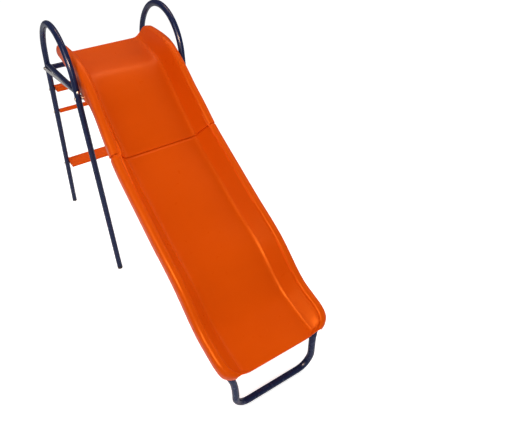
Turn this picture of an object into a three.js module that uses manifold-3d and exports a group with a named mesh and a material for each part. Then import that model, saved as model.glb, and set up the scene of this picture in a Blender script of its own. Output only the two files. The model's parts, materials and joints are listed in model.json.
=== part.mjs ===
import * as THREE from "three";
import Module from "manifold-3d";
import { mergeVertices } from "three/addons/utils/BufferGeometryUtils.js";

// Garden wave slide: a two-piece moulded chute carried by two bent handrail hoops and a looped foot.
// Millimetres, Z up. X runs across the slide, the chute descends towards -Y, the ground is Z = 0.
// Lengths along Y are given from midway between the ladder feet. Last of all, the whole slide is shifted
// so that the origin lies on the ground under the middle of its box.

const wasm = await Module();
wasm.setup();

// ---- frame tubes ----
const TUBE_R = 12.5;
const TUBE_BORE = 11;
const TUBE_SIDES = 10;
const GAP = 0.3;
const RAIL_GAP = 1;
const HOOP_X = 235;
const FOOT_HALF_SPREAD = 338.7;
const FRONT_LEAN = 0.1403;
const REAR_LEAN = 0.2043;
const HOOP_BEND_R = 188;
const HOOP_BEND_STEPS = 12;
const LEG_JOINT_Z = 520;
const SWAGE_R = 10.6;
const SWAGE_BORE = 9.2;
const SWAGE_LEN = 50;
const PLUG_FLANGE = 7;
const PLUG_INSERT = 20;
const PLUG_STEM_R = 10;

// ---- chute, keyed by the y of the floor line ----
const SHELL = 4;
const FLOOR_HALF = 136;
const NEST = SHELL + 0.4;
const FLOOR_LINE = [
  [46, 914], [-30, 896], [-105, 879], [-150, 865], [-187, 842], [-242, 799], [-297, 750],
  [-360, 698], [-430, 638], [-477, 604], [-550, 561], [-621, 521], [-690, 479], [-760, 438],
  [-829, 404], [-893, 368], [-947, 328], [-1000, 287], [-1050, 256], [-1100, 238],
  [-1160, 221], [-1219, 207],
];
const RIM_HEIGHT = [
  [46, 34], [42, 42], [36, 49], [28, 54], [16, 59], [-30, 68], [-105, 78], [-187, 86], [-242, 88],
  [-360, 83], [-430, 79], [-620, 72], [-760, 72], [-893, 64], [-1000, 58], [-1120, 54], [-1165, 50],
  [-1187, 44], [-1200, 38], [-1209, 32], [-1219, 25],
];
const HALF_WIDTH = [
  [46, 212], [20, 216], [-105, 215], [-187, 214], [-240, 215.5], [-300, 219], [-365, 224.5],
  [-430, 229], [-500, 231.5], [-1000, 232], [-1150, 232], [-1172, 229.5], [-1187, 226],
  [-1198, 221.5], [-1206, 214.5], [-1212, 206], [-1216, 197], [-1219, 186],
];
const SKIRT_DEPTH = [
  [46, 26], [36, 38], [16, 46], [-30, 56], [-105, 76], [-187, 90], [-222, 91], [-262, 46], [-300, 36],
  [-430, 36], [-760, 40], [-1000, 36], [-1187, 36], [-1200, 34], [-1209, 29], [-1219, 20],
];
const REAR_Y = 46;
const FRONT_Y = -1219;
const SEAM_Y = -430;
const OVERLAP_Y = 38;
const JOGGLE_START = 1.5;
const JOGGLE_END = 9;
const LIP_DEPTH = 10;

// ---- platform and ladder ----
const PLATFORM_Z = 850;
const CROSS_Z = 832;
const BAR_R = 11;
const BAR_BORE = 9.5;
const STRAP_W = 16;
const STRAP_T = 3;
const STRAP_REAR_X = 249.9;
const STRAP_FRONT_X = 219.6;
const WING_BOLT_Z = 824;
const WING_NUT_X = 210.4;
const STEP_HALF = HOOP_X - TUBE_R - GAP;
const STEP_WALL = 3;
const STEPS = {
  lower: { z: 300, depth: 92, height: 14, forward: 8 },
  middle: { z: 618, depth: 26, height: 12, forward: 0 },
  upper: { z: 738, depth: 62, height: 14, forward: 4 },
};

// ---- rails and foot loop ----
const RAIL_DROP = 30;
const RAIL_INSET = 21.2;
const RAIL_TOP_Y = -396;
const RAIL_END_Y = -960;
const SCREW_Y = { upper: -412, middle: -640, lower: -900 };
const FOOT_BAR_Y = -1219;
const FOOT_HALF = 172.5;
const FOOT_BEND_R = 58;

// ---- fasteners ----
const BOLT_R = 2.6;
const HOLE_R = 2.9;
const HEAD_R = 6;
const HEAD_H = 3.6;
const NUT_R = 4.4;
const NUT_BORE = 3.1;
const NUT_H = 4.2;

function navySteel() {
  return new THREE.MeshStandardMaterial({ color: 0x18213f, roughness: 0.38, metalness: 0.3 });
}

function orangePlastic() {
  return new THREE.MeshStandardMaterial({ color: 0xe04a04, roughness: 0.5, metalness: 0 });
}

function zincSteel() {
  return new THREE.MeshStandardMaterial({ color: 0xb4b7ba, roughness: 0.35, metalness: 0.9 });
}

function blackPlastic() {
  return new THREE.MeshStandardMaterial({ color: 0x17181b, roughness: 0.6, metalness: 0 });
}

// ---- geometry helpers ----
function solid(positions, triangles) {
  const geometry = new THREE.BufferGeometry();
  geometry.setAttribute("position", new THREE.Float32BufferAttribute(positions, 3));
  geometry.setIndex(triangles);
  return geometry;
}

// Closed band between two matching grids of points; the grids wrap across when closed is true.
function band(outer, inner, closed) {
  const rows = outer.length;
  const cols = outer[0].length;
  const positions = [];
  for (const grid of [outer, inner]) {
    for (const row of grid) {
      for (const p of row) {
        positions.push(p.x, p.y, p.z);
      }
    }
  }
  const at = (layer, i, j) => layer * rows * cols + i * cols + (j % cols);
  const triangles = [];
  const quad = (a, b, c, d) => triangles.push(a, b, c, a, c, d);
  const spans = closed ? cols : cols - 1;
  for (let j = 0; j < spans; j += 1) {
    for (let i = 0; i + 1 < rows; i += 1) {
      quad(at(0, i, j), at(0, i, j + 1), at(0, i + 1, j + 1), at(0, i + 1, j));
      quad(at(1, i, j), at(1, i + 1, j), at(1, i + 1, j + 1), at(1, i, j + 1));
    }
    quad(at(0, 0, j), at(1, 0, j), at(1, 0, j + 1), at(0, 0, j + 1));
    quad(at(0, rows - 1, j), at(0, rows - 1, j + 1), at(1, rows - 1, j + 1), at(1, rows - 1, j));
  }
  if (!closed) {
    for (let i = 0; i + 1 < rows; i += 1) {
      quad(at(0, i, 0), at(0, i + 1, 0), at(1, i + 1, 0), at(1, i, 0));
      quad(at(0, i, cols - 1), at(1, i, cols - 1), at(1, i + 1, cols - 1), at(0, i + 1, cols - 1));
    }
  }
  return outward(solid(positions, triangles));
}

// Turns every triangle over when the mesh encloses a negative volume.
function outward(geometry) {
  const p = geometry.attributes.position;
  const index = Array.from(geometry.index.array);
  const a = new THREE.Vector3();
  const b = new THREE.Vector3();
  const c = new THREE.Vector3();
  let volume = 0;
  for (let k = 0; k < index.length; k += 3) {
    a.fromBufferAttribute(p, index[k]);
    b.fromBufferAttribute(p, index[k + 1]);
    c.fromBufferAttribute(p, index[k + 2]);
    volume += a.dot(b.cross(c));
  }
  if (volume < 0) {
    for (let k = 0; k < index.length; k += 3) {
      [index[k + 1], index[k + 2]] = [index[k + 2], index[k + 1]];
    }
    geometry.setIndex(index);
  }
  return geometry;
}

function ring(centre, side, other, radius, sides) {
  return Array.from({ length: sides }, (_, k) => {
    const t = (2 * Math.PI * k) / sides;
    const point = centre.clone().addScaledVector(side, radius * Math.cos(t));
    return point.addScaledVector(other, radius * Math.sin(t));
  });
}

// Hollow tube through the given points; radii holds one [outer, bore] pair per point.
function tube(points, radii, sides = TUBE_SIDES) {
  const outer = [];
  const inner = [];
  let side = null;
  points.forEach((p, i) => {
    const before = points[Math.max(i - 1, 0)];
    const after = points[Math.min(i + 1, points.length - 1)];
    const along = after.clone().sub(before).normalize();
    if (side === null) {
      side = Math.abs(along.x) < 0.9 ? new THREE.Vector3(1, 0, 0) : new THREE.Vector3(0, 0, 1);
    }
    side = side.clone().addScaledVector(along, -side.dot(along)).normalize();
    const other = along.clone().cross(side);
    const [r, bore] = radii[i];
    outer.push(ring(p, side, other, r, sides));
    inner.push(ring(p, side, other, bore, sides));
  });
  return band(outer, inner, true);
}

function plainTube(points) {
  return tube(points, points.map(() => [TUBE_R, TUBE_BORE]));
}

function toManifold(geometry, matrix) {
  const bare = new THREE.BufferGeometry();
  bare.setAttribute("position", geometry.attributes.position.clone());
  if (geometry.index) {
    bare.setIndex(geometry.index.clone());
  }
  if (matrix) {
    bare.applyMatrix4(matrix);
  }
  const merged = mergeVertices(bare, 1e-4);
  return new wasm.Manifold(new wasm.Mesh({
    numProp: 3,
    vertProperties: new Float32Array(merged.attributes.position.array),
    triVerts: new Uint32Array(merged.index.array),
  }));
}

function toGeometry(manifold) {
  const mesh = manifold.getMesh();
  return solid(Array.from(mesh.vertProperties), Array.from(mesh.triVerts));
}

function cut(geometry, tools) {
  return toGeometry(tools.reduce((body, tool) => body.subtract(toManifold(tool)), toManifold(geometry)));
}

function weld(geometry, extras) {
  return toGeometry(extras.reduce((body, extra) => body.add(toManifold(extra)), toManifold(geometry)));
}

// Round bar from one point to another.
function pin(from, to, radius, sides = 8) {
  const length = from.distanceTo(to);
  const geometry = new THREE.CylinderGeometry(radius, radius, length, sides);
  const turn = new THREE.Quaternion().setFromUnitVectors(
    new THREE.Vector3(0, 1, 0), to.clone().sub(from).normalize());
  geometry.applyQuaternion(turn);
  const mid = from.clone().add(to).multiplyScalar(0.5);
  geometry.translate(mid.x, mid.y, mid.z);
  return geometry;
}

function mesh(name, geometry, material) {
  const result = new THREE.Mesh(geometry, material);
  result.name = name;
  return result;
}

// Lathe about +Y turned so that the profile's height runs along the given direction.
function turned(profile, sides, origin, direction) {
  const points = profile.map(([r, h]) => new THREE.Vector2(r, h));
  const geometry = new THREE.LatheGeometry(points, sides);
  geometry.applyQuaternion(new THREE.Quaternion().setFromUnitVectors(
    new THREE.Vector3(0, 1, 0), direction.clone().normalize()));
  geometry.translate(origin.x, origin.y, origin.z);
  return geometry;
}

// ---- chute section ----
function keyed(table, y) {
  const last = table.length - 1;
  if (y >= table[0][0]) {
    return table[0][1];
  }
  if (y <= table[last][0]) {
    return table[last][1];
  }
  const k = table.findIndex(([key]) => key <= y);
  const [y0, v0] = table[k - 1];
  const [y1, v1] = table[k];
  return v0 + ((v1 - v0) * (y0 - y)) / (y0 - y1);
}

const floorCurve = new THREE.SplineCurve(FLOOR_LINE.map(([y, z]) => new THREE.Vector2(y, z)));

// Point on the floor line at a given y, with the unit normal of the floor in the YZ plane.
function station(y) {
  let low = 0;
  let high = 1;
  for (let k = 0; k < 40; k += 1) {
    const mid = (low + high) / 2;
    if (floorCurve.getPoint(mid).x > y) {
      low = mid;
    } else {
      high = mid;
    }
  }
  const point = floorCurve.getPoint(low);
  const tangent = floorCurve.getTangent(low);
  return { y: point.x, z: point.y, ny: tangent.y, nz: -tangent.x };
}

function place(at, x, n) {
  return new THREE.Vector3(x, at.y + at.ny * n, at.z + at.nz * n);
}

// Half section from the middle of the floor out over the rolled rim to the foot of the skirt.
function halfSection(width, height, skirt) {
  const flat = Math.min(FLOOR_HALF, width - 76);
  return [
    [flat, 0], [flat + 11, 1.5], [flat + 20, 5.5], [flat + 27, 12],
    [width - 36, height - 11], [width - 33, height - 5], [width - 28, height - 1.2], [width - 18, height],
    [width - 9, height - 2], [width - 3, height - 7], [width, height - 15], [width, height - skirt],
  ];
}

function section(y) {
  const half = halfSection(keyed(HALF_WIDTH, y), keyed(RIM_HEIGHT, y), keyed(SKIRT_DEPTH, y));
  return [...half.map(([x, n]) => [-x, n]).reverse(), ...half];
}

// Section outline shifted towards its underside by a distance for every point.
function inset(outline, distance) {
  return outline.map(([x, n], i) => {
    const [ax, an] = outline[Math.max(i - 1, 0)];
    const [bx, bn] = outline[Math.min(i + 1, outline.length - 1)];
    const length = Math.hypot(bx - ax, bn - an);
    const d = distance(x);
    return [x + (d * (bn - an)) / length, n - (d * (bx - ax)) / length];
  });
}

// How far the lower section lies below the chute's surface: tucked under at the lap, flush after the seam.
function tuck(y) {
  const reach = (y - SEAM_Y + JOGGLE_END) / (JOGGLE_END - JOGGLE_START);
  return NEST * Math.min(1, Math.max(0, reach));
}

function shell(ys, depthAt, lipAt) {
  const top = [];
  const bottom = [];
  for (const y of ys) {
    const at = station(y);
    const depth = depthAt(y);
    const outline = section(y);
    const lip = Math.abs(y - lipAt) < 4.5 ? LIP_DEPTH : SHELL;
    const lipHalf = keyed(HALF_WIDTH, y) - 52;
    const under = (x) => depth + (Math.abs(x) < lipHalf ? lip : SHELL);
    top.push(inset(outline, () => depth).map(([x, n]) => place(at, x, n)));
    bottom.push(inset(outline, under).map(([x, n]) => place(at, x, n)));
  }
  return band(top, bottom, false);
}

function steps(from, to, pitch) {
  const count = Math.ceil(Math.abs(to - from) / pitch);
  return Array.from({ length: count + 1 }, (_, k) => from + ((to - from) * k) / count);
}

// Boss below the rolled rim that a rail screw bites into.
function bossPair(y, depth) {
  const at = station(y);
  const x = keyed(HALF_WIDTH, y) - RAIL_INSET;
  const top = keyed(RIM_HEIGHT, y) - depth - 2.8;
  const foot = keyed(RIM_HEIGHT, y) - RAIL_DROP + TUBE_R + RAIL_GAP;
  return [-x, x].map((side) => pin(place(at, side, foot), place(at, side, top), 5));
}

function bossHoles(y, depth) {
  const at = station(y);
  const x = keyed(HALF_WIDTH, y) - RAIL_INSET;
  const top = keyed(RIM_HEIGHT, y) - depth - 5;
  const foot = keyed(RIM_HEIGHT, y) - RAIL_DROP;
  return [-x, x].map((side) => pin(place(at, side, foot), place(at, side, top), HOLE_R));
}

function wingBoltAt(side) {
  return new THREE.Vector3(side * HOOP_X, -FOOT_HALF_SPREAD + FRONT_LEAN * WING_BOLT_Z, WING_BOLT_Z);
}

// Stations shared by both sections where the lower one is tucked under the upper one.
const OVERLAP = steps(SEAM_Y + OVERLAP_Y, SEAM_Y, 20);

function slideUpper() {
  const ys = [
    REAR_Y, REAR_Y - 4, REAR_Y - 4.6, 36, 28, 16, -7, -45, -88, -120, -144, -166, -188, -205, -222, -242,
    ...steps(-262, SEAM_Y + OVERLAP_Y + 25, 34), ...OVERLAP,
  ];
  const geometry = shell(ys, () => 0, REAR_Y - 2);
  const holes = [-1, 1].map((side) => {
    const at = wingBoltAt(side);
    return pin(at, new THREE.Vector3(side * 190, at.y, at.z), HOLE_R);
  });
  return mesh("slide_upper", cut(geometry, holes), orangePlastic());
}

function slideLower() {
  const ys = [
    ...OVERLAP, SEAM_Y - JOGGLE_START, SEAM_Y - JOGGLE_END, ...steps(SEAM_Y - 36, -1125, 43),
    -1150, -1168, -1180, -1191, -1200, -1208, FRONT_Y + 4.6, FRONT_Y + 4, FRONT_Y,
  ];
  const geometry = shell(ys, tuck, FRONT_Y + 2);
  const screws = Object.values(SCREW_Y);
  const bossed = weld(geometry, screws.flatMap((y) => bossPair(y, tuck(y))));
  const drilled = cut(bossed, screws.flatMap((y) => bossHoles(y, tuck(y))));
  return mesh("slide_lower", drilled, orangePlastic());
}

// ---- hoops and legs ----
function legPoint(side, front, z) {
  const y = front ? -FOOT_HALF_SPREAD + FRONT_LEAN * z : FOOT_HALF_SPREAD - REAR_LEAN * z;
  return new THREE.Vector3(side * HOOP_X, y, z);
}

function hoopPath(side) {
  const frontLength = Math.hypot(1, FRONT_LEAN);
  const rearLength = Math.hypot(1, REAR_LEAN);
  const rise = 2 * FOOT_HALF_SPREAD - HOOP_BEND_R * (frontLength + rearLength);
  const centreZ = rise / (FRONT_LEAN + REAR_LEAN);
  const centreY = HOOP_BEND_R * frontLength - FOOT_HALF_SPREAD + FRONT_LEAN * centreZ;
  const start = Math.PI - Math.atan(FRONT_LEAN);
  const end = Math.atan(REAR_LEAN);
  const bend = Array.from({ length: HOOP_BEND_STEPS + 1 }, (_, k) => {
    const t = start + ((end - start) * k) / HOOP_BEND_STEPS;
    return new THREE.Vector3(
      side * HOOP_X, centreY + HOOP_BEND_R * Math.cos(t), centreZ + HOOP_BEND_R * Math.sin(t));
  });
  return [legPoint(side, true, LEG_JOINT_Z), ...bend, legPoint(side, false, LEG_JOINT_Z)];
}

function across(at, reach = 20) {
  return pin(at.clone().setX(at.x - reach), at.clone().setX(at.x + reach), HOLE_R);
}

function barHole(side, front) {
  const at = legPoint(side, front, PLATFORM_Z);
  return pin(at.clone().setY(at.y - 20), at.clone().setY(at.y + 20), HOLE_R);
}

function handrailHoop(name, side) {
  const holes = [
    across(wingBoltAt(side)),
    across(crossBoltAt(side)),
    across(stepBoltAt(side, STEPS.middle)),
    across(stepBoltAt(side, STEPS.upper)),
    barHole(side, true),
    barHole(side, false),
  ];
  return mesh(name, cut(plainTube(hoopPath(side)), holes), navySteel());
}

function leg(name, side, front) {
  const foot = legPoint(side, front, 3);
  const along = legPoint(side, front, LEG_JOINT_Z).sub(foot).normalize();
  const length = legPoint(side, front, LEG_JOINT_Z).distanceTo(foot);
  const marks = [
    [PLUG_FLANGE + GAP, TUBE_R, TUBE_BORE],
    [length - 6, TUBE_R, TUBE_BORE],
    [length - 0.6, TUBE_R, SWAGE_BORE],
    [length - 0.5, SWAGE_R, SWAGE_BORE],
    [length + SWAGE_LEN, SWAGE_R, SWAGE_BORE],
  ];
  const points = marks.map(([h]) => foot.clone().addScaledVector(along, h));
  const body = tube(points, marks.map(([, r, bore]) => [r, bore]));
  const holes = front ? [] : [across(stepBoltAt(side, STEPS.lower))];
  return mesh(name, holes.length ? cut(body, holes) : body, navySteel());
}

function endPlug(name, side, front) {
  const foot = legPoint(side, front, 3);
  const along = legPoint(side, front, LEG_JOINT_Z).sub(foot).normalize();
  const profile = [
    [0, -8], [TUBE_R, -8], [TUBE_R, PLUG_FLANGE], [PLUG_STEM_R, PLUG_FLANGE],
    [PLUG_STEM_R, PLUG_INSERT], [0, PLUG_INSERT],
  ];
  const above = new THREE.BoxGeometry(60, 60, 60).translate(foot.x, foot.y, 30);
  const body = toManifold(turned(profile, TUBE_SIDES, foot, along)).intersect(toManifold(above));
  return mesh(name, toGeometry(body), blackPlastic());
}

// ---- platform bars and straps ----
function cappedTube(from, to) {
  const along = to.clone().sub(from);
  const length = along.length();
  const profile = [
    [HOLE_R, 0], [BAR_R, 0], [BAR_R, length], [HOLE_R, length], [HOLE_R, length - 3],
    [BAR_BORE, length - 3], [BAR_BORE, 3], [HOLE_R, 3], [HOLE_R, 0],
  ];
  return turned(profile, TUBE_SIDES, from, along);
}

function crossBoltAt(side) {
  return legPoint(side, false, CROSS_Z);
}

function crossTube() {
  const end = crossBoltAt(1);
  const reach = HOOP_X - TUBE_R - GAP;
  const body = cappedTube(end.clone().setX(-reach), end.clone().setX(reach));
  return mesh("platform_cross_tube", body, navySteel());
}

// End plane of a side bar, or seat of its bolt head, against a leaning hoop tube.
function besideTube(side, front, radius, inside) {
  const at = legPoint(side, front, PLATFORM_Z);
  const lean = front ? FRONT_LEAN : REAR_LEAN;
  const reach = TUBE_R * Math.hypot(1, lean) + GAP + radius * lean;
  const away = front === inside ? 1 : -1;
  return at.setY(at.y + away * reach);
}

function sideBar(name, side) {
  const front = besideTube(side, true, BAR_R, true);
  return mesh(name, cappedTube(front, besideTube(side, false, BAR_R, true)), navySteel());
}

// Flat strap from the outer face of the rear tube to the inner face of the front tube.
function strap(name, side) {
  const rear = crossBoltAt(side).setX(side * STRAP_REAR_X);
  const front = wingBoltAt(side).setX(side * STRAP_FRONT_X);
  const length = rear.distanceTo(front);
  const shape = new THREE.Shape();
  shape.absarc(0, 0, STRAP_W / 2, Math.PI / 2, (3 * Math.PI) / 2, false);
  shape.absarc(length, 0, STRAP_W / 2, -Math.PI / 2, Math.PI / 2, false);
  shape.closePath();
  for (const x of [0, length]) {
    const hole = new THREE.Path();
    hole.absarc(x, 0, HOLE_R + 0.4, 0, 2 * Math.PI, true);
    shape.holes.push(hole);
  }
  const geometry = new THREE.ExtrudeGeometry(shape, {
    depth: STRAP_T, steps: 1, bevelEnabled: false, curveSegments: 8,
  });
  geometry.translate(0, 0, -STRAP_T / 2);
  const along = front.clone().sub(rear).normalize();
  const face = new THREE.Vector3(0, 0, 1).cross(along).normalize();
  const upward = face.clone().cross(along).negate();
  const basis = new THREE.Matrix4().makeBasis(along, upward, along.clone().cross(upward));
  geometry.applyMatrix4(basis.setPosition(rear));
  return mesh(name, geometry, zincSteel());
}

// ---- ladder steps ----
function stepBoltAt(side, step) {
  const drop = STEP_WALL + (step.height - STEP_WALL) * 0.5;
  return legPoint(side, false, step.z - drop);
}

function slab(profile, half) {
  const shape = new THREE.Shape(profile.map(([y, z]) => new THREE.Vector2(y, z)));
  const geometry = new THREE.ExtrudeGeometry(shape, { depth: 2 * half, steps: 1, bevelEnabled: false });
  geometry.translate(0, 0, -half);
  const basis = new THREE.Matrix4().makeBasis(
    new THREE.Vector3(0, 1, 0), new THREE.Vector3(0, 0, 1), new THREE.Vector3(1, 0, 0));
  return geometry.applyMatrix4(basis);
}

// Open-bottomed moulded tray with grip ridges along its top.
function ladderStep(name, step) {
  const middle = legPoint(1, false, step.z).y - step.forward;
  const front = middle - step.depth / 2;
  const back = middle + step.depth / 2;
  const ridges = Math.max(1, Math.floor((step.depth - 14) / 14));
  const pitch = step.depth / (ridges + 1);
  const top = [];
  for (let k = ridges; k > 0; k -= 1) {
    const y = front + k * pitch;
    top.push([y + 3, step.z], [y + 2, step.z + 1.6], [y - 2, step.z + 1.6], [y - 3, step.z]);
  }
  const outline = [
    [front, step.z - step.height], [back, step.z - step.height], [back, step.z - 3], [back - 3, step.z],
    ...top, [front + 3, step.z], [front, step.z - 3],
  ];
  const cavity = [
    [front + STEP_WALL, step.z - step.height - 5], [back - STEP_WALL, step.z - step.height - 5],
    [back - STEP_WALL, step.z - STEP_WALL], [front + STEP_WALL, step.z - STEP_WALL],
  ];
  const tray = cut(slab(outline, STEP_HALF), [slab(cavity, STEP_HALF - STEP_WALL)]);
  const holes = [-1, 1].map((side) => across(stepBoltAt(side, step), 30));
  return mesh(name, cut(tray, holes), orangePlastic());
}

// ---- rails under the rim and the foot loop ----
function railPoint(side, y) {
  const at = station(y);
  const x = keyed(HALF_WIDTH, Math.max(y, -1100)) - RAIL_INSET;
  return place(at, side * x, keyed(RIM_HEIGHT, y) - RAIL_DROP);
}

function railScrewSpan(side, y) {
  const at = station(y);
  const x = side * (keyed(HALF_WIDTH, y) - RAIL_INSET);
  const centre = keyed(RIM_HEIGHT, y) - RAIL_DROP;
  return [place(at, x, centre - TUBE_R - RAIL_GAP), place(at, x, keyed(RIM_HEIGHT, y) - NEST - 6)];
}

function sideRail(name, side) {
  const points = steps(RAIL_TOP_Y, RAIL_END_Y, 48).map((y) => railPoint(side, y));
  const holes = Object.values(SCREW_Y).map((y) => {
    const [low, high] = railScrewSpan(side, y);
    const axis = high.clone().sub(low);
    return pin(low.clone().addScaledVector(axis, -0.5), high, HOLE_R);
  });
  return mesh(name, cut(plainTube(points), holes), navySteel());
}

function footLoop() {
  const end = railPoint(1, RAIL_END_Y);
  const inner = railPoint(1, RAIL_END_Y + SWAGE_LEN);
  const along = end.clone().sub(inner).normalize();
  const half = [
    inner.clone().addScaledVector(along, 6),
    end.clone().addScaledVector(along, 0.4),
    end.clone().addScaledVector(along, 0.5),
    end.clone().addScaledVector(along, 6),
    railPoint(1, -1000), railPoint(1, -1035), railPoint(1, -1075),
    new THREE.Vector3(206, -1122, 241), new THREE.Vector3(204, -1156, 223),
    new THREE.Vector3(197, -1180, 201), new THREE.Vector3(186, -1193, 178),
    new THREE.Vector3(177, -1201, 150), new THREE.Vector3(173.5, -1208, 118),
    new THREE.Vector3(FOOT_HALF, -1213, 88),
  ];
  for (let k = 0; k <= 5; k += 1) {
    const t = (k * Math.PI) / 10;
    const x = FOOT_HALF - FOOT_BEND_R * (1 - Math.cos(t));
    const y = FOOT_BAR_Y + 4 * Math.cos(t) ** 2;
    half.push(new THREE.Vector3(x, y, TUBE_R + FOOT_BEND_R * (1 - Math.sin(t))));
  }
  const path = [...half, ...half.map((p) => new THREE.Vector3(-p.x, p.y, p.z)).reverse()];
  const last = path.length - 1;
  const radii = path.map((_, i) => {
    const fromEnd = Math.min(i, last - i);
    if (fromEnd < 2) {
      return [SWAGE_R, SWAGE_BORE];
    }
    return fromEnd === 2 ? [TUBE_R, SWAGE_BORE] : [TUBE_R, TUBE_BORE];
  });
  return mesh("foot_loop", tube(path, radii), navySteel());
}

// ---- fasteners ----
function domeBolt(name, seat, tip) {
  const along = tip.clone().sub(seat);
  const profile = [
    [0, -HEAD_H], [HEAD_R * 0.7, -HEAD_H * 0.7], [HEAD_R, 0],
    [BOLT_R, 0], [BOLT_R, along.length()], [0, along.length()],
  ];
  return mesh(name, turned(profile, 8, seat, along), zincSteel());
}

function hexNut(name, seat, along) {
  const profile = [[NUT_BORE, 0], [NUT_R, 0], [NUT_R, NUT_H], [NUT_BORE, NUT_H], [NUT_BORE, 0]];
  return mesh(name, turned(profile, 6, seat, along), zincSteel());
}

// Bolt across a tube from its outer face, with a nut on the inner side.
function crossBolt(name, side, at, headX, nutX) {
  const inward = new THREE.Vector3(-side, 0, 0);
  return [
    domeBolt(`${name}_bolt`, at.clone().setX(side * headX), at.clone().setX(side * (nutX - NUT_H - 3))),
    hexNut(`${name}_nut`, at.clone().setX(side * nutX), inward),
  ];
}

const slide = new THREE.Group();
slide.name = "wave_slide";
slide.add(slideUpper(), slideLower(), crossTube(), footLoop());
for (const [key, step] of Object.entries(STEPS)) {
  slide.add(ladderStep(`ladder_step_${key}`, step));
}
for (const [word, side] of [["left", -1], ["right", 1]]) {
  const tubeFace = HOOP_X + TUBE_R + GAP;
  const strapFace = STRAP_REAR_X + 2.4;
  slide.add(handrailHoop(`handrail_hoop_${word}`, side));
  for (const [spot, front] of [["front", true], ["rear", false]]) {
    slide.add(leg(`leg_${spot}_${word}`, side, front));
    slide.add(endPlug(`foot_plug_${spot}_${word}`, side, front));
    const seat = besideTube(side, front, HEAD_R, false);
    const tip = besideTube(side, front, BAR_R, true);
    tip.y += front ? 9 : -9;
    slide.add(domeBolt(`side_bar_bolt_${spot}_${word}`, seat, tip));
  }
  slide.add(sideBar(`platform_side_bar_${word}`, side));
  slide.add(strap(`platform_strap_${word}`, side));
  slide.add(sideRail(`side_rail_${word}`, side));
  slide.add(...crossBolt(`wing_${word}`, side, wingBoltAt(side), tubeFace, WING_NUT_X));
  slide.add(...crossBolt(`cross_tube_${word}`, side, crossBoltAt(side), strapFace, STEP_HALF - 3.3));
  for (const [key, step] of Object.entries(STEPS)) {
    const at = stepBoltAt(side, step);
    slide.add(...crossBolt(`step_${key}_${word}`, side, at, tubeFace, STEP_HALF - STEP_WALL - GAP));
  }
  for (const [key, y] of Object.entries(SCREW_Y)) {
    const [low, high] = railScrewSpan(side, y);
    slide.add(domeBolt(`rail_screw_${key}_${word}`, low, high));
  }
}

const middleY = new THREE.Box3().setFromObject(slide).getCenter(new THREE.Vector3()).y;
for (const part of slide.children) {
  part.geometry.translate(0, -middleY, 0);
}

export default slide;
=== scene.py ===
import json
import math

import bmesh
import bpy
from mathutils import Matrix, Vector


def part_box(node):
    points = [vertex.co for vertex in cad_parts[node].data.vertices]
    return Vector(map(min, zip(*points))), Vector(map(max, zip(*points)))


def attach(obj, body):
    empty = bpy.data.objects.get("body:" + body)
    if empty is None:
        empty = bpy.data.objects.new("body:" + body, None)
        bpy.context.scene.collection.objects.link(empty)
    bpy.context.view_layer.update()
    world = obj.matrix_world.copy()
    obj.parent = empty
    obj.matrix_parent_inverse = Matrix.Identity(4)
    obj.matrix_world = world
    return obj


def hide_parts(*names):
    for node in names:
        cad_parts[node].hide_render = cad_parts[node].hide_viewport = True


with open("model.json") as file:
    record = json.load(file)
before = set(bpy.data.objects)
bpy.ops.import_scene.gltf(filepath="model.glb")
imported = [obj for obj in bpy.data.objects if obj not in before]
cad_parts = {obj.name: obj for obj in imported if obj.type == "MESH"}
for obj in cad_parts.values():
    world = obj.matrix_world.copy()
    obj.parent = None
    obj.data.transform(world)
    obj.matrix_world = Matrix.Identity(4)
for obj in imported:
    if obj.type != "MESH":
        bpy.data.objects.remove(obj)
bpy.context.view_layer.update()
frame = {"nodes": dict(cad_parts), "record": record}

MM = 0.001

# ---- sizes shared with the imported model, in millimetres ----
# Ladder frame: a lean is how far a leg moves along Y for each millimetre of height.
TUBE_R = 12.5
TUBE_WALL = 1.5
BAR_R = 11
HOOP_X = 235
FOOT_SPREAD = 338.7
FRONT_LEAN = 0.1403
REAR_LEAN = 0.2043
HOOP_BEND_R = 188
LEG_FOOT_Z = 3
PLUG_TOP = 7.4
JOINT_Z = 520
JOINT_GAP = 0.6
PLATFORM_Z = 850
CROSS_Z = 832
BAR_GAP = 0.3

# Chute: the lower section laps under the upper one behind the seam, then steps up flush with it.
REAR_Y, SEAM_Y, CORNER_Y, FRONT_Y = 46, -430, -1150, -1219
SHELL = 4
LAP = 38
NEST = 4.4
JOGGLE_START, JOGGLE_END = 1.5, 9
LIP_DEPTH = 10
LIP_REACH = 4.5
LIP_INSET = 52
FLOOR_HALF = 136
WALL_SPAN = 76
SKIRT_START = 15

# Side rails and foot loop: the rails follow the rim and end where the loop is pushed into them. The
# loop's ground bends start LOOP_SETBACK behind its bar.
RAIL_DROP = 30
RAIL_INSET = 21.2
RAIL_TOP_Y, RAIL_END_Y = -396, -960
LOOP_X = 172.5
LOOP_BAR_Y = -1219
LOOP_BEND_R = 58
LOOP_SETBACK = 4
LOOP_SIDE = [
    (206, -1122, 241), (204, -1156, 223), (197, -1180, 201), (186, -1193, 178), (177, -1201, 150),
    (173.5, -1208, 118), (LOOP_X, -1213, 88),
]

# Bolts: head height and shank as packed, with the head shaped as a dome on a thin washer face.
DOME_R, DOME_H, WASHER_H = 5.4, 2.7, 0.9
BOLT_HEAD_H = DOME_H + WASHER_H
SHANK_R = 2.6

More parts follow.
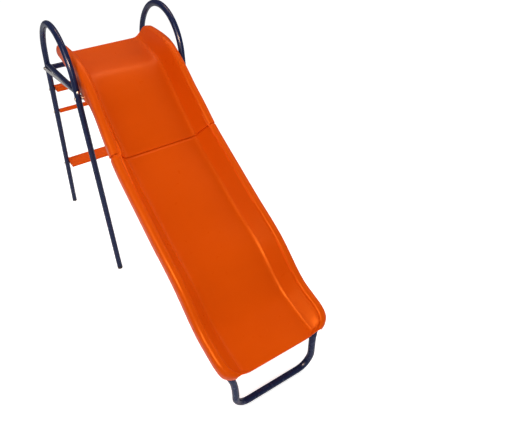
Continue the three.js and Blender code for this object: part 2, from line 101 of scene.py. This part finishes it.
# Along the chute, as (Y, value): the floor's height, the rim's height above the floor, the half width,
# and how far the skirt hangs below the rim.
FLOOR_LINE = [
    (46, 914), (-30, 896), (-105, 879), (-150, 865), (-187, 842), (-242, 799), (-297, 750),
    (-360, 698), (-430, 638), (-477, 604), (-550, 561), (-621, 521), (-690, 479), (-760, 438),
    (-829, 404), (-893, 368), (-947, 328), (-1000, 287), (-1050, 256), (-1100, 238),
    (-1160, 221), (-1219, 207),
]
RIM_HEIGHT = [
    (46, 34), (42, 42), (36, 49), (28, 54), (16, 59), (-30, 68), (-105, 78), (-187, 86), (-242, 88),
    (-360, 83), (-430, 79), (-620, 72), (-760, 72), (-893, 64), (-1000, 58), (-1120, 54), (-1165, 50),
    (-1187, 44), (-1200, 38), (-1209, 32), (-1219, 25),
]
HALF_WIDTH = [
    (46, 212), (20, 216), (-105, 215), (-187, 214), (-240, 215.5), (-300, 219), (-365, 224.5),
    (-430, 229), (-500, 231.5), (-1000, 232), (-1150, 232), (-1172, 229.5), (-1187, 226),
    (-1198, 221.5), (-1206, 214.5), (-1212, 206), (-1216, 197), (-1219, 186),
]
SKIRT_DEPTH = [
    (46, 26), (36, 38), (16, 46), (-30, 56), (-105, 76), (-187, 90), (-222, 91), (-262, 46), (-300, 36),
    (-430, 36), (-760, 40), (-1000, 36), (-1187, 36), (-1200, 34), (-1209, 29), (-1219, 20),
]

# Y is counted from midway between the front and rear feet; ALONG is where that point lies in the frame.
bar_low, bar_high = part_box("platform_cross_tube")
ALONG = (bar_low.y + bar_high.y) / 2 / MM - (FOOT_SPREAD - REAR_LEAN * CROSS_Z)

AROUND = 32
STATION_PITCH = 6
SECTION_STEPS = 4
FLOOR_PATH_STEPS = 40
NORMAL_REACH = 3
SKIRT_STEPS = 4
FLOOR_STEPS = 10
BEND_STEPS = 36
END_SOFTENING = 0.6
WIDTH_EASE, RIM_EASE, SKIRT_EASE = 12, 24, 3
SHARP_ANGLE = math.radians(38)
CAD_SHARP_ANGLE = math.radians(35)


# ---- materials ----
class Nodes:
    """Thin helper for building a procedural shader graph."""

    def __init__(self, name):
        self.material = bpy.data.materials.new(name)
        self.material.use_nodes = True
        self.tree = self.material.node_tree
        self.shader = self.tree.nodes["Principled BSDF"]
        self.coords = self.add("ShaderNodeTexCoord").outputs["Object"]

    def add(self, kind, **settings):
        node = self.tree.nodes.new(kind)
        for key, value in settings.items():
            setattr(node, key, value)
        return node

    def link(self, source, target):
        self.tree.links.new(source, target)

    def stretched(self, scale):
        mapping = self.add("ShaderNodeMapping")
        mapping.inputs["Scale"].default_value = scale
        self.link(self.coords, mapping.inputs["Vector"])
        return mapping.outputs["Vector"]

    def noise(self, scale, detail=4.0, rough=0.55, vector=None):
        node = self.add("ShaderNodeTexNoise")
        node.inputs["Scale"].default_value = scale
        node.inputs["Detail"].default_value = detail
        node.inputs["Roughness"].default_value = rough
        self.link(vector or self.coords, node.inputs["Vector"])
        return node.outputs["Fac"]

    def spread(self, source, low, high, start=0.3, end=0.7):
        node = self.add("ShaderNodeMapRange")
        node.inputs["From Min"].default_value = start
        node.inputs["From Max"].default_value = end
        node.inputs["To Min"].default_value = low
        node.inputs["To Max"].default_value = high
        self.link(source, node.inputs["Value"])
        return node.outputs["Result"]

    def mix(self, fac, a, b):
        node = self.add("ShaderNodeMix", data_type="RGBA")
        self.feed(fac, node.inputs["Factor"])
        self.feed(a, node.inputs[6])
        self.feed(b, node.inputs[7])
        return node.outputs[2]

    def feed(self, value, target):
        if isinstance(value, (tuple, list)):
            target.default_value = (*value, 1.0)
        elif isinstance(value, float):
            target.default_value = value
        else:
            self.link(value, target)

    def bump(self, height, distance, strength, normal=None):
        node = self.add("ShaderNodeBump")
        node.inputs["Distance"].default_value = distance
        node.inputs["Strength"].default_value = strength
        self.link(height, node.inputs["Height"])
        if normal is not None:
            self.link(normal, node.inputs["Normal"])
        return node.outputs["Normal"]

    # Mask of sharp convex edges from pointiness, used to paint a highlight along them.
    def edges(self, start, end):
        pointy = self.add("ShaderNodeNewGeometry").outputs["Pointiness"]
        return self.spread(pointy, 0.0, 1.0, start, end)

    def finish(self, colour, roughness, normal, **values):
        self.feed(colour, self.shader.inputs["Base Color"])
        self.feed(roughness, self.shader.inputs["Roughness"])
        self.link(normal, self.shader.inputs["Normal"])
        for key, value in values.items():
            self.shader.inputs[key.replace("_", " ")].default_value = value
        return self.material


def orange_plastic():
    n = Nodes("orange_plastic")
    cloud = n.spread(n.noise(3.1, 3.0), 0.0, 1.0)
    tint = n.mix(cloud, (0.64, 0.064, 0.0004), (0.69, 0.074, 0.0008))
    scuff_field = n.noise(9.0, 6.0, 0.7, n.stretched((14.0, 0.9, 0.9)))
    scuffs = n.spread(scuff_field, 0.0, 0.14, 0.62, 0.78)
    tint = n.mix(scuffs, tint, (0.78, 0.15, 0.03))
    # Painted highlight: a lighter, lit orange along the convex edges of the rims and corners.
    tint = n.mix(n.edges(0.505, 0.56), tint, (0.8, 0.09, 0.004))
    roughness = n.spread(n.noise(38.0, 5.0), 0.27, 0.37)
    grain = n.bump(n.noise(950.0, 3.0), 0.00012, 0.35)
    ripple = n.bump(n.noise(14.0, 2.0), 0.0011, 0.16, grain)
    n.shader.inputs["Specular Tint"].default_value = (1.0, 0.36, 0.08, 1.0)
    return n.finish(tint, roughness, ripple, IOR=1.34, Specular_IOR_Level=0.5)


def navy_paint():
    n = Nodes("navy_paint")
    cloud = n.spread(n.noise(11.0), 0.0, 1.0)
    tint = n.mix(cloud, (0.0072, 0.0115, 0.046), (0.0105, 0.016, 0.06))
    worn = n.spread(n.noise(120.0, 6.0, 0.75), 0.0, 0.5, 0.72, 0.8)
    tint = n.mix(worn, tint, (0.05, 0.055, 0.09))
    roughness = n.spread(n.noise(55.0, 4.0), 0.2, 0.31)
    peel = n.bump(n.noise(420.0, 2.0), 0.00015, 0.4)
    n.shader.inputs["Specular Tint"].default_value = (0.62, 0.72, 1.0, 1.0)
    return n.finish(tint, roughness, peel, IOR=1.45, Specular_IOR_Level=0.5)


def zinc_steel():
    n = Nodes("zinc_steel")
    spangle = n.spread(n.noise(160.0, 2.0), 0.0, 1.0)
    tint = n.mix(spangle, (0.5, 0.51, 0.53), (0.66, 0.67, 0.68))
    roughness = n.spread(n.noise(90.0, 5.0, 0.6, n.stretched((1.0, 0.08, 1.0))), 0.28, 0.46)
    brushed = n.bump(n.noise(700.0, 3.0), 0.00008, 0.5)
    return n.finish(tint, roughness, brushed, Metallic=1.0)


def black_plastic():
    n = Nodes("black_plastic")
    tint = n.mix(n.spread(n.noise(60.0), 0.0, 1.0), (0.012, 0.012, 0.014), (0.022, 0.022, 0.025))
    roughness = n.spread(n.noise(180.0), 0.5, 0.68)
    grain = n.bump(n.noise(1100.0, 3.0), 0.00012, 0.5)
    return n.finish(tint, roughness, grain)


MATERIALS = {
    "orange_plastic": orange_plastic(),
    "navy_paint": navy_paint(),
    "zinc_steel": zinc_steel(),
    "black_plastic": black_plastic(),
}


# ---- building pieces ----
def add_bevel(piece, width, angle):
    """Softens the edges that are sharper than the angle, given in degrees."""
    bevel = piece.modifiers.new("edge", "BEVEL")
    bevel.width = width * MM
    bevel.segments = 2
    bevel.limit_method = "ANGLE"
    bevel.angle_limit = math.radians(angle)


def as_piece(name, bm, slot, nodes):
    """Turns a bmesh in millimetres into a shown piece that stands for the named CAD nodes."""
    bmesh.ops.recalc_face_normals(bm, faces=bm.faces)
    bmesh.ops.translate(bm, vec=(0, ALONG, 0), verts=bm.verts)
    bmesh.ops.scale(bm, vec=(MM, MM, MM), verts=bm.verts)
    data = bpy.data.meshes.new(name)
    bm.to_mesh(data)
    bm.free()
    data.materials.append(MATERIALS[slot])
    data.shade_smooth()
    data.set_sharp_from_angle(angle=SHARP_ANGLE)
    piece = bpy.data.objects.new(name, data)
    bpy.context.scene.collection.objects.link(piece)
    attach(piece, "root")
    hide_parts(*nodes)
    return piece


def join_rings(bm, rings, wrap):
    """Faces between neighbouring rings, closed around each ring if wrap is true; returns the vertices."""
    rows = [[bm.verts.new(p) for p in ring] for ring in rings]
    count = len(rows[0])
    for a, b in zip(rows, rows[1:]):
        for j in range(count if wrap else count - 1):
            k = (j + 1) % count
            bm.faces.new((a[j], a[k], b[k], b[j]))
    return rows


def tube_rings(points, radii, sides):
    """Rings of a tube that follows the points, carrying one side direction along without twist."""
    rings = []
    side = None
    for i, point in enumerate(points):
        along = (points[min(i + 1, len(points) - 1)] - points[max(i - 1, 0)]).normalized()
        if side is None:
            side = Vector((1, 0, 0)) if abs(along.x) < 0.9 else Vector((0, 0, 1))
        side = (side - along * side.dot(along)).normalized()
        other = along.cross(side)
        rings.append([
            point + radii[i] * (side * math.cos(t) + other * math.sin(t))
            for t in (2 * math.pi * k / sides for k in range(sides))
        ])
    return rings


def tube(name, points, radius, nodes):
    """Open-ended painted steel tube with softened ends."""
    first = points[0] + (points[1] - points[0]).normalized() * END_SOFTENING
    last = points[-1] + (points[-2] - points[-1]).normalized() * END_SOFTENING
    path = [points[0], first, *points[1:-1], last, points[-1]]
    outer = [radius] * len(path)
    outer[0] = outer[-1] = radius - END_SOFTENING
    bore = [radius - TUBE_WALL] * len(path)
    bm = bmesh.new()
    out_rows = join_rings(bm, tube_rings(path, outer, AROUND), True)
    in_rows = join_rings(bm, tube_rings(path, bore, AROUND), True)
    for end in (0, -1):
        for j in range(AROUND):
            k = (j + 1) % AROUND
            bm.faces.new((out_rows[end][j], out_rows[end][k], in_rows[end][k], in_rows[end][j]))
    as_piece(name, bm, "navy_paint", nodes)


def revolve(bm, profile, origin, direction, sides):
    """Closed turned body: profile pairs are radius and height along the direction."""
    turn = Vector((0, 0, 1)).rotation_difference(direction.normalized())
    rows = []
    for radius, height in profile:
        if radius == 0:
            rows.append([bm.verts.new(origin + turn @ Vector((0, 0, height)))])
            continue
        rows.append([
            bm.verts.new(origin + turn @ Vector((radius * math.cos(t), radius * math.sin(t), height)))
            for t in (2 * math.pi * k / sides for k in range(sides))
        ])
    for a, b in zip(rows, rows[1:]):
        for k in range(sides):
            m = (k + 1) % sides
            if len(a) == 1:
                bm.faces.new((a[0], b[k], b[m]))
            elif len(b) == 1:
                bm.faces.new((a[k], a[m], b[0]))
            else:
                bm.faces.new((a[k], a[m], b[m], b[k]))


def smooth_path(points, per_segment):
    """Catmull-Rom curve through the points."""
    ends = [points[0] * 2 - points[1], *points, points[-1] * 2 - points[-2]]
    path = []
    for i in range(1, len(ends) - 2):
        p0, p1, p2, p3 = ends[i - 1 : i + 3]
        for k in range(per_segment):
            t = k / per_segment
            path.append(0.5 * (
                2 * p1 + (p2 - p0) * t + (2 * p0 - 5 * p1 + 4 * p2 - p3) * t * t
                + (3 * p1 - p0 - 3 * p2 + p3) * t ** 3))
    path.append(points[-1].copy())
    return path


# ---- chute ----
def keyed(table, y):
    """Value of a (Y, value) table at y, on the straight line between its rows."""
    if y >= table[0][0]:
        return table[0][1]
    for (y0, v0), (y1, v1) in zip(table, table[1:]):
        if y >= y1:
            return v0 + (v1 - v0) * (y0 - y) / (y0 - y1)
    return table[-1][1]


def eased(table, y, reach):
    """Keyed value averaged over a short stretch, so the change along the chute is gradual."""
    reach = min(reach, REAR_Y - y, y - FRONT_Y)
    if reach <= 0:
        return keyed(table, y)
    return sum(keyed(table, y + reach * s / 3) for s in range(-3, 4)) / 7


floor_path = smooth_path([Vector((0, y, z)) for y, z in FLOOR_LINE], FLOOR_PATH_STEPS)


def station(y):
    """Point of the floor line at y and the floor's unit normal."""
    for i, (a, b) in enumerate(zip(floor_path, floor_path[1:])):
        if a.y >= y >= b.y:
            t = (a.y - y) / (a.y - b.y)
            before = floor_path[max(i - NORMAL_REACH, 0)]
            after = floor_path[min(i + 1 + NORMAL_REACH, len(floor_path) - 1)]
            along = (after - before).normalized()
            return a.lerp(b, t), Vector((0, along.z, -along.y))
    raise ValueError(y)


def outline(y):
    """Smooth cross-section of the chute at a station, as (x, height above the floor)."""
    width = eased(HALF_WIDTH, y, WIDTH_EASE)
    height = eased(RIM_HEIGHT, y, RIM_EASE)
    skirt = eased(SKIRT_DEPTH, y, SKIRT_EASE)
    flat = min(FLOOR_HALF, width - WALL_SPAN)
    # Fillet and wall, then the rolled rim down to where the skirt starts.
    half = [
        (flat, 0), (flat + 11, 1.5), (flat + 20, 5.5), (flat + 27, 12), (width - 36, height - 11),
        (width - 33, height - 5), (width - 28, height - 1.2), (width - 18, height),
        (width - 9, height - 2), (width - 3, height - 7), (width, height - SKIRT_START),
    ]
    curve = smooth_path([Vector((x, n, 0)) for x, n in half], SECTION_STEPS)
    foot = height - skirt
    for k in range(1, SKIRT_STEPS + 1):
        drop = (foot - height + SKIRT_START) * k / SKIRT_STEPS
        curve.append(Vector((width, height - SKIRT_START + drop, 0)))
    floor = [Vector((-flat + 2 * flat * k / FLOOR_STEPS, 0, 0)) for k in range(1, FLOOR_STEPS)]
    left = [Vector((-p.x, p.y, 0)) for p in reversed(curve)]
    return left + floor + curve


def inset(line, gaps):
    """Moves each point of a cross-section in from the surface, square to the line, by its own gap."""
    shifted = []
    for i, (p, gap) in enumerate(zip(line, gaps)):
        step = (line[min(i + 1, len(line) - 1)] - line[max(i - 1, 0)]).normalized()
        shifted.append(p + Vector((step.y, -step.x, 0)) * gap)
    return shifted


def tuck(y):
    """How far the lower section lies below the chute's surface: under the lap, then flush."""
    reach = (y - SEAM_Y + JOGGLE_END) / (JOGGLE_END - JOGGLE_START)
    return NEST * min(1, max(0, reach))


def chute(name, ys, depth_at, lip_at, nodes):
    """Closed shell through the stations ys, deeper under the floor at the end near lip_at."""
    top, bottom = [], []
    for y in ys:
        depth = depth_at(y)
        at, normal = station(y)
        line = outline(y)
        lip_half = keyed(HALF_WIDTH, y) - LIP_INSET
        thick = LIP_DEPTH if abs(y - lip_at) < LIP_REACH else SHELL
        under = [depth + (thick if abs(p.x) < lip_half else SHELL) for p in line]
        for rows, gaps in ((top, [depth] * len(line)), (bottom, under)):
            rows.append([at + Vector((p.x, 0, 0)) + normal * p.y for p in inset(line, gaps)])
    bm = bmesh.new()
    upper = join_rings(bm, top, False)
    lower = join_rings(bm, bottom, False)
    for a, b in zip(range(len(upper) - 1), range(1, len(upper))):
        for j in (0, -1):
            bm.faces.new((upper[a][j], upper[b][j], lower[b][j], lower[a][j]))
    for row in (0, -1):
        for j in range(len(upper[0]) - 1):
            bm.faces.new((upper[row][j], upper[row][j + 1], lower[row][j + 1], lower[row][j]))
    add_bevel(as_piece(name, bm, "orange_plastic", nodes), width=1.1, angle=60)


def spaced(start, end, pitch):
    """Evenly spaced values from start to end, no further apart than the pitch."""
    count = max(1, math.ceil(abs(end - start) / pitch))
    return [start + (end - start) * k / count for k in range(count + 1)]


def build_chute():
    # Stations lie close together at the lips, the step under the seam and the rounded front corners.
    upper = [REAR_Y, REAR_Y - 4, REAR_Y - 4.6, *spaced(REAR_Y - 9, SEAM_Y, STATION_PITCH)]
    chute("chute_upper_shell", upper, lambda y: 0, REAR_Y - 2, ["slide_upper"])
    lower = [
        *spaced(SEAM_Y + LAP, SEAM_Y, 8),
        *spaced(SEAM_Y - JOGGLE_START, SEAM_Y - JOGGLE_END, 1.5),
        *spaced(SEAM_Y - JOGGLE_END - 4, CORNER_Y, STATION_PITCH),
        *spaced(CORNER_Y - 4, FRONT_Y + 6, 3.5),
        FRONT_Y + 4.6, FRONT_Y + 4, FRONT_Y + 1.5, FRONT_Y,
    ]
    chute("chute_lower_shell", lower, tuck, FRONT_Y + 2, ["slide_lower"])


# ---- frame ----
def leg_point(side, front, z):
    """Point at height z on a leg's centre line; side is -1 on the left and 1 on the right."""
    y = -FOOT_SPREAD + FRONT_LEAN * z if front else FOOT_SPREAD - REAR_LEAN * z
    return Vector((side * HOOP_X, y, z))


def hoop_path(side):
    """Centre line of a hoop: one bend that runs tangent into the front and the rear leg."""
    front_len, rear_len = math.hypot(1, FRONT_LEAN), math.hypot(1, REAR_LEAN)
    rise = 2 * FOOT_SPREAD - HOOP_BEND_R * (front_len + rear_len)
    centre_z = rise / (FRONT_LEAN + REAR_LEAN)
    centre_y = HOOP_BEND_R * front_len - FOOT_SPREAD + FRONT_LEAN * centre_z
    start, end = math.pi - math.atan(FRONT_LEAN), math.atan(REAR_LEAN)
    bend = [
        Vector((side * HOOP_X, centre_y + HOOP_BEND_R * math.cos(t), centre_z + HOOP_BEND_R * math.sin(t)))
        for t in (start + (end - start) * k / BEND_STEPS for k in range(BEND_STEPS + 1))
    ]
    return [leg_point(side, True, JOINT_Z), *bend, leg_point(side, False, JOINT_Z)]


def rail_point(side, y):
    """Point on a side rail's centre line, in the hollow under the rim."""
    at, normal = station(y)
    x = keyed(HALF_WIDTH, y) - RAIL_INSET
    return at + Vector((side * x, 0, 0)) + normal * (keyed(RIM_HEIGHT, y) - RAIL_DROP)


def build_frame():
    for word, side in (("left", -1), ("right", 1)):
        tube(f"hoop_tube_{word}", hoop_path(side), TUBE_R, [f"handrail_hoop_{word}"])
        for spot, front in (("front", True), ("rear", False)):
            foot = leg_point(side, front, LEG_FOOT_Z)
            top = leg_point(side, front, JOINT_Z)
            along = (top - foot).normalized()
            tube(f"leg_tube_{spot}_{word}", [foot + along * PLUG_TOP, top - along * JOINT_GAP], TUBE_R,
                 [f"leg_{spot}_{word}"])
        ends = []
        for front in (True, False):
            lean = FRONT_LEAN if front else REAR_LEAN
            reach = TUBE_R * math.hypot(1, lean) + BAR_GAP + BAR_R * lean
            ends.append(leg_point(side, front, PLATFORM_Z) + Vector((0, reach if front else -reach, 0)))
        tube(f"side_bar_tube_{word}", ends, BAR_R, [f"platform_side_bar_{word}"])
        rail = [rail_point(side, y) for y in spaced(RAIL_TOP_Y, RAIL_END_Y, 12)]
        tube(f"rail_tube_{word}", rail, TUBE_R, [f"side_rail_{word}"])
    reach = HOOP_X - TUBE_R - BAR_GAP
    middle = leg_point(1, False, CROSS_Z)
    tube("cross_tube", [Vector((-reach, middle.y, middle.z)), Vector((reach, middle.y, middle.z))],
         BAR_R, ["platform_cross_tube"])


def build_foot_loop():
    """One tube from rail to rail: along the rim, down each side, and across on the ground."""
    end = rail_point(1, RAIL_END_Y)
    along = (end - rail_point(1, RAIL_END_Y + 50)).normalized()
    half = [end + along * JOINT_GAP]
    half += [rail_point(1, y) for y in (-1000, -1035, -1075)]
    half += [Vector(spot) for spot in LOOP_SIDE]
    for k in range(6):
        t = k * math.pi / 10
        half.append(Vector((
            LOOP_X - LOOP_BEND_R * (1 - math.cos(t)), LOOP_BAR_Y + LOOP_SETBACK * math.cos(t) ** 2,
            TUBE_R + LOOP_BEND_R * (1 - math.sin(t)))))
    half = smooth_path(half, 5)
    mirrored = [Vector((-p.x, p.y, p.z)) for p in reversed(half)]
    tube("foot_loop_tube", half + mirrored, TUBE_R, ["foot_loop"])


def bolt_profile(length):
    """Dome, washer face and shank as (radius, height), with the underside of the head at height 0."""
    dome = [(0, -BOLT_HEAD_H)]
    for k in range(1, 7):
        t = 0.22 * k
        dome.append((DOME_R * math.sin(t), -WASHER_H - DOME_H * math.cos(t)))
    washer = [(5.95, -0.8), (6.0, -0.5), (5.9, 0)]
    shank = [(SHANK_R, 0), (SHANK_R, length - 0.6), (SHANK_R - 0.5, length), (0, length)]
    return [*dome, *washer, *shank]


def bolt_from_box(node):
    """Dome-headed bolt along X or Y, whichever side of the CAD bolt's box is longer."""
    low, high = (v / MM - Vector((0, ALONG, 0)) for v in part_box(node))
    middle, size = (low + high) / 2, high - low
    axis = 0 if size.x > size.y else 1
    sign = 1 if middle[axis] > 0 else -1
    direction = Vector((0, 0, 0))
    direction[axis] = -sign
    seat = middle.copy()
    seat[axis] = (high if sign > 0 else low)[axis] - sign * BOLT_HEAD_H
    bm = bmesh.new()
    revolve(bm, bolt_profile(size[axis] - BOLT_HEAD_H), seat, direction, AROUND // 2 + 4)
    as_piece(f"{node}_turned", bm, "zinc_steel", [node])


def dress_cad_nodes():
    """Material, edge softening and shading for the CAD nodes that are shown as they are."""
    slots = {part["node"]: part["material_slot"] for part in frame["record"]["subparts"]}
    for name, node in frame["nodes"].items():
        if node.hide_render:
            continue
        node.data.materials.clear()
        node.data.materials.append(MATERIALS[slots[name]])
        node.data.shade_smooth()
        node.data.set_sharp_from_angle(angle=CAD_SHARP_ANGLE)
        add_bevel(node, width=0.7 if name.startswith("ladder") else 0.35, angle=50)


# ---- studio ----
# World strength as a light source, as what the camera sees, and as a reflection.
WORLD_LIGHT, WORLD_SEEN, WORLD_REFLECTED = 0.47, 1.0, 0.1
FLOOR_GLOW = 0.62
FLOOR_HALF_SIZE = 14
FLOOR_Z = -0.0005
WARM = (1.0, 0.6, 0.32)

# Name, place and aim in metres, size along the lamp's X and Y, power, and what it lights: a "fill"
# makes no highlights, and a "gloss" lamp makes nothing but warm highlights.
LIGHTS = [
    ("key_light", (-1.75, -0.4, 2.0), (0.2, -0.3, 0.4), 0.5, 2.4, 18.5, "both"),
    ("top_light", (-0.2, 0.95, 2.7), (0, 0.2, 0.8), 1.0, 0.7, 11, "fill"),
    ("front_light", (-0.7, -2.6, 1.5), (0, -0.5, 0.25), 1.0, 1.0, 12.5, "both"),
    ("right_light", (2.0, -0.4, 1.9), (0, -0.2, 0.4), 1.2, 2.0, 23, "fill"),
    ("bend_light", (0.7, 0.95, 2.8), (0, 0.29, 0.87), 1.6, 0.25, 14, "gloss"),
    ("streak_light", (-0.95, -1.3, 2.1), (0.17, -0.47, 0.4), 1.0, 0.22, 120, "gloss"),
]


def white_world():
    """White behind the part, softer as a light source, softer still as a reflection."""
    world = bpy.data.worlds.new("studio")
    bpy.context.scene.world = world
    world.use_nodes = True
    tree = world.node_tree
    backdrop = tree.nodes["Background"]
    backdrop.inputs["Color"].default_value = (1.0, 1.0, 1.0, 1)
    path = tree.nodes.new("ShaderNodeLightPath")
    level = None
    for ray, amount in (("Is Camera Ray", WORLD_SEEN), ("Is Glossy Ray", WORLD_REFLECTED)):
        step = tree.nodes.new("ShaderNodeMix")
        step.inputs["A"].default_value = WORLD_LIGHT
        step.inputs["B"].default_value = amount
        tree.links.new(path.outputs[ray], step.inputs["Factor"])
        if level is not None:
            tree.links.new(level.outputs["Result"], step.inputs["A"])
        level = step
    tree.links.new(level.outputs["Result"], backdrop.inputs["Strength"])


def pale_floor():
    """Matt floor that glows a little for the camera only, so that it meets the white world."""
    pale = bpy.data.materials.new("pale_floor")
    pale.use_nodes = True
    tree = pale.node_tree
    surface = tree.nodes["Principled BSDF"]
    surface.inputs["Base Color"].default_value = (0.9, 0.9, 0.9, 1)
    surface.inputs["Roughness"].default_value = 0.9
    surface.inputs["Emission Color"].default_value = (1, 1, 1, 1)
    seen = tree.nodes.new("ShaderNodeLightPath").outputs["Is Camera Ray"]
    glow = tree.nodes.new("ShaderNodeMath")
    glow.operation = "MULTIPLY"
    glow.inputs[1].default_value = FLOOR_GLOW
    tree.links.new(seen, glow.inputs[0])
    tree.links.new(glow.outputs[0], surface.inputs["Emission Strength"])
    bm = bmesh.new()
    bmesh.ops.create_grid(bm, x_segments=1, y_segments=1, size=FLOOR_HALF_SIZE)
    data = bpy.data.meshes.new("floor")
    bm.to_mesh(data)
    bm.free()
    data.materials.append(pale)
    floor = bpy.data.objects.new("floor", data)
    floor.location = (0, 0, FLOOR_Z)
    bpy.context.scene.collection.objects.link(floor)


def lights():
    for name, spot, aim, across, along, power, use in LIGHTS:
        lamp = bpy.data.lights.new(name, "AREA")
        lamp.shape = "RECTANGLE"
        lamp.size = across
        lamp.size_y = along
        lamp.energy = power
        light = bpy.data.objects.new(name, lamp)
        light.location = spot
        light.rotation_euler = (Vector(aim) - Vector(spot)).to_track_quat("-Z", "Y").to_euler()
        bpy.context.scene.collection.objects.link(light)
        if use == "fill":
            light.visible_glossy = False
        if use == "gloss":
            light.visible_diffuse = False
            lamp.color = WARM


# The photo's viewing angle: place in metres, angles in radians, focal length on a 36 mm wide sensor,
# and lens shift as a share of the sensor's width.
CAMERA_AT = (-0.6479, -1.7563 + ALONG * MM, 1.4509)
YAW, PITCH, ROLL = 0.459, 0.728, 0.078
SENSOR_WIDTH = 36
LENS = 28.02
SHIFT = {"shift_x": 0.1786, "shift_y": 0.052}


def camera():
    data = bpy.data.cameras.new("camera")
    data.sensor_width = SENSOR_WIDTH
    data.lens = LENS
    forward = Vector((
        math.sin(YAW) * math.cos(PITCH), math.cos(YAW) * math.cos(PITCH), -math.sin(PITCH)))
    level = Vector((math.cos(YAW), -math.sin(YAW), 0))
    down = forward.cross(level)
    right = level * math.cos(ROLL) + down * math.sin(ROLL)
    lower = down * math.cos(ROLL) - level * math.sin(ROLL)
    basis = Matrix((right, -lower, -forward)).transposed().to_4x4()
    cam = bpy.data.objects.new("camera", data)
    cam.matrix_world = Matrix.Translation(CAMERA_AT) @ basis
    bpy.context.scene.collection.objects.link(cam)
    bpy.context.scene.camera = cam
    # The lens is shifted only while the camera stands at CAMERA_AT, so other views stay centred.
    for path, amount in SHIFT.items():
        driver = data.driver_add(path).driver
        driver.type = "SCRIPTED"
        place = driver.variables.new()
        place.name = "x"
        place.type = "TRANSFORMS"
        place.targets[0].id = cam
        place.targets[0].transform_type = "LOC_X"
        driver.expression = f"{amount} if abs(x - {CAMERA_AT[0]}) < 0.002 else 0.0"


build_chute()
build_frame()
build_foot_loop()
for bolt in sorted(frame["nodes"]):
    if bolt.endswith("_bolt") or bolt.startswith("side_bar_bolt"):
        bolt_from_box(bolt)
dress_cad_nodes()
white_world()
pale_floor()
lights()
scene = bpy.context.scene
scene.view_settings.view_transform = "Standard"
scene.view_settings.look = "None"
camera()
